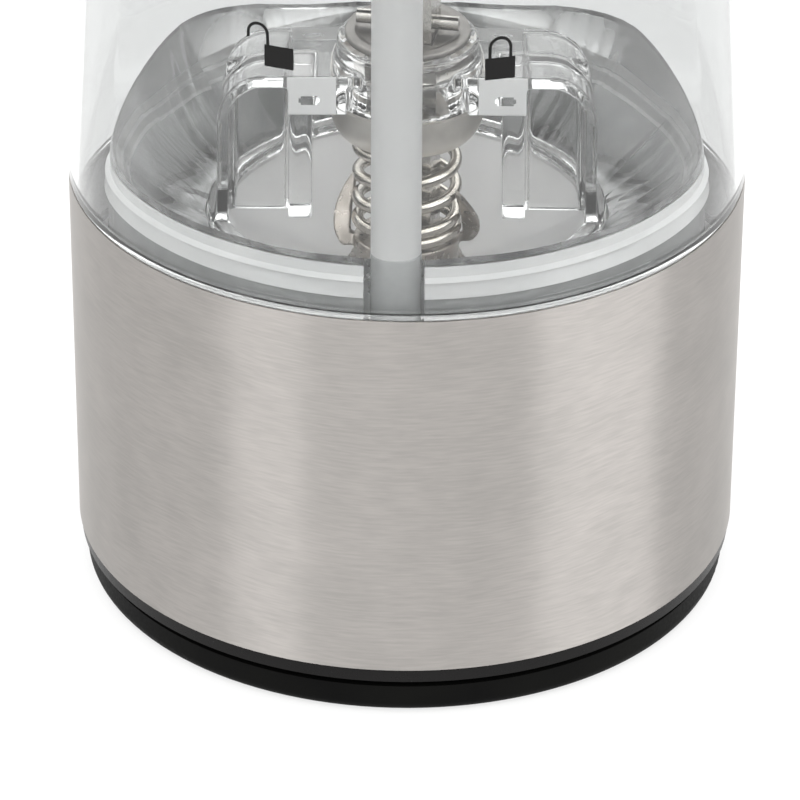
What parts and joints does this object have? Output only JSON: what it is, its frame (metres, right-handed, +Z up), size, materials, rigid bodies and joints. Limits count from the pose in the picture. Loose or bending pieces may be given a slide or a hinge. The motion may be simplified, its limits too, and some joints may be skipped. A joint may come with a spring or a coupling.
{
  "type": "electric pepper mill",
  "caption": "Upright round electric mill with a steel-clad base, clear chamber showing its shaft and spring, twist-lock motor head and a push button on top.",
  "frame": {"origin": "centre of the dust cap's underside, on the surface that the mill stands on", "axes": "+Z up along the mill's axis, -Y to the front where the padlock marks and the lamp tube are, +X to the right seen from the front"},
  "size_m": [0.06, 0.06, 0.1945],
  "materials": {
    "black_abs": "moulded black, satin",
    "dark_abs": "moulded dark grey, matte",
    "brushed_stainless": "brushed round the body",
    "plated_button": "plated, satin",
    "clear_acrylic": "polished, clear",
    "clear_styrene": "clear, slightly hazy",
    "pale_abs": "moulded pale grey, glossy",
    "burr_ceramic": "fired, satin",
    "milky_tube": "milky, smooth",
    "silicone": "matte",
    "acetal": "moulded off-white, satin",
    "contact_brass": "bright",
    "bright_steel": "drawn, bright",
    "pressed_steel": "pressed sheet, shiny",
    "spring_steel": "drawn wire",
    "motor_shell": "plated can",
    "motor_nylon": "moulded",
    "cell_wrap": "plain wrapped cell",
    "board": "plain board",
    "lamp_resin": "clear resin",
    "lead_pvc": "insulated wire"
  },
  "bodies": {
    "dust_cap": {"dust_cap": "black_abs"},
    "base": {"base_housing": "black_abs", "steel_sleeve": "brushed_stainless", "grinder_housing": "pale_abs", "outer_burr": "burr_ceramic", "hopper_ring": "clear_styrene", "bearing_bridge": "clear_styrene", "clear_chamber": "clear_acrylic", "mouth_collar": "black_abs", "conduit_tube": "milky_tube", "conduit_plug": "dark_abs", "conduit_pins": "contact_brass", "lamp": "lamp_resin", "lamp_wires": "lead_pvc", "base_screws": "bright_steel"},
    "rotor": {"drive_shaft": "bright_steel", "shaft_washer": "bright_steel", "shaft_pin": "contact_brass", "spring_cup": "pressed_steel", "grinder_spring": "spring_steel"},
    "burr": {"inner_burr": "burr_ceramic", "feed_wings": "pressed_steel"},
    "knob": {"grind_knob": "dark_abs"},
    "head_seal": {"head_gasket": "silicone"},
    "head": {"head_chassis": "dark_abs", "head_sleeve": "brushed_stainless", "contact_rings": "contact_brass", "gearbox_cover": "acetal", "gearbox_case": "acetal", "gearbox_screws": "bright_steel", "motor_can": "motor_shell", "motor_cap": "motor_nylon", "motor_screws": "bright_steel", "motor_leads": "lead_pvc", "battery_holder": "dark_abs", "battery_1": "cell_wrap", "battery_2": "cell_wrap", "battery_3": "cell_wrap", "battery_4": "cell_wrap", "battery_5": "cell_wrap", "battery_6": "cell_wrap", "battery_springs": "spring_steel", "contact_plates": "contact_brass", "switch_board": "board", "switch_body": "dark_abs", "button_spring": "spring_steel"},
    "output": {"output_carrier": "acetal", "drive_coupler": "dark_abs"},
    "lower_planet_1": {"lower_planet_1": "acetal"},
    "lower_planet_2": {"lower_planet_2": "acetal"},
    "lower_planet_3": {"lower_planet_3": "acetal"},
    "upper_carrier": {"upper_carrier": "acetal"},
    "upper_planet_1": {"upper_planet_1": "acetal"},
    "upper_planet_2": {"upper_planet_2": "acetal"},
    "upper_planet_3": {"upper_planet_3": "acetal"},
    "pinion": {"motor_pinion": "contact_brass"},
    "head_cover": {"top_cap": "black_abs"},
    "button": {"push_button": "plated_button"}
  },
  "joints": [
    {"name": "cap_pull", "type": "slide", "parent": "dust_cap", "child": "base", "axis": [0, 0, 1], "range_m": [0, 0.03]},
    {"name": "rotor_spin", "type": "hinge", "parent": "base", "child": "rotor", "pos_m": [0, 0, 0], "axis": [0, 0, 1], "continuous": true},
    {"name": "burr_slide", "type": "slide", "parent": "rotor", "child": "burr", "axis": [0, 0, 1], "range_m": [0, 0.0007], "deforming": ["grinder_spring"]},
    {"name": "knob_turn", "type": "hinge", "parent": "burr", "child": "knob", "pos_m": [0, 0, 0], "axis": [0, 0, 1], "range_deg": [0, 120]},
    {"name": "head_lift", "type": "slide", "parent": "base", "child": "head_seal", "axis": [0, 0, 1], "range_m": [0, 0.06]},
    {"name": "head_twist", "type": "hinge", "parent": "head_seal", "child": "head", "pos_m": [0, 0, 0], "axis": [0, 0, 1], "range_deg": [0, 36]},
    {"name": "output_spin", "type": "hinge", "parent": "head", "child": "output", "pos_m": [0, 0, 0], "axis": [0, 0, 1], "continuous": true},
    {"name": "lower_planet_1_spin", "type": "hinge", "parent": "output", "child": "lower_planet_1", "pos_m": [0.0075, 0, 0], "axis": [0, 0, 1], "continuous": true},
    {"name": "lower_planet_2_spin", "type": "hinge", "parent": "output", "child": "lower_planet_2", "pos_m": [-0.00375, 0.0065, 0], "axis": [0, 0, 1], "continuous": true},
    {"name": "lower_planet_3_spin", "type": "hinge", "parent": "output", "child": "lower_planet_3", "pos_m": [-0.00375, -0.0065, 0], "axis": [0, 0, 1], "continuous": true},
    {"name": "upper_carrier_spin", "type": "hinge", "parent": "head", "child": "upper_carrier", "pos_m": [0, 0, 0], "axis": [0, 0, 1], "continuous": true},
    {"name": "upper_planet_1_spin", "type": "hinge", "parent": "upper_carrier", "child": "upper_planet_1", "pos_m": [0.0075, 0, 0], "axis": [0, 0, 1], "continuous": true},
    {"name": "upper_planet_2_spin", "type": "hinge", "parent": "upper_carrier", "child": "upper_planet_2", "pos_m": [-0.00375, 0.0065, 0], "axis": [0, 0, 1], "continuous": true},
    {"name": "upper_planet_3_spin", "type": "hinge", "parent": "upper_carrier", "child": "upper_planet_3", "pos_m": [-0.00375, -0.0065, 0], "axis": [0, 0, 1], "continuous": true},
    {"name": "pinion_spin", "type": "hinge", "parent": "head", "child": "pinion", "pos_m": [0, 0, 0], "axis": [0, 0, 1], "continuous": true},
    {"name": "cover_lift", "type": "slide", "parent": "head", "child": "head_cover", "axis": [0, 0, 1], "range_m": [0, 0.06]},
    {"name": "button_press", "type": "slide", "parent": "head_cover", "child": "button", "axis": [0, 0, -1], "range_m": [0, 0.002], "stiffness_N_per_m": 600, "springref_m": -0.002, "deforming": ["button_spring"]}
  ],
  "couplings": [
    {"joint": "knob_turn", "follows": "burr_slide", "rad_per_m": 2991.9},
    {"joint": "rotor_spin", "follows": "pinion_spin", "ratio": 0.04},
    {"joint": "output_spin", "follows": "pinion_spin", "ratio": 0.04},
    {"joint": "upper_carrier_spin", "follows": "pinion_spin", "ratio": 0.2},
    {"joint": "lower_planet_1_spin", "follows": "pinion_spin", "ratio": -0.10667},
    {"joint": "lower_planet_2_spin", "follows": "pinion_spin", "ratio": -0.10667},
    {"joint": "lower_planet_3_spin", "follows": "pinion_spin", "ratio": -0.10667},
    {"joint": "upper_planet_1_spin", "follows": "pinion_spin", "ratio": -0.53333},
    {"joint": "upper_planet_2_spin", "follows": "pinion_spin", "ratio": -0.53333},
    {"joint": "upper_planet_3_spin", "follows": "pinion_spin", "ratio": -0.53333}
  ]
}
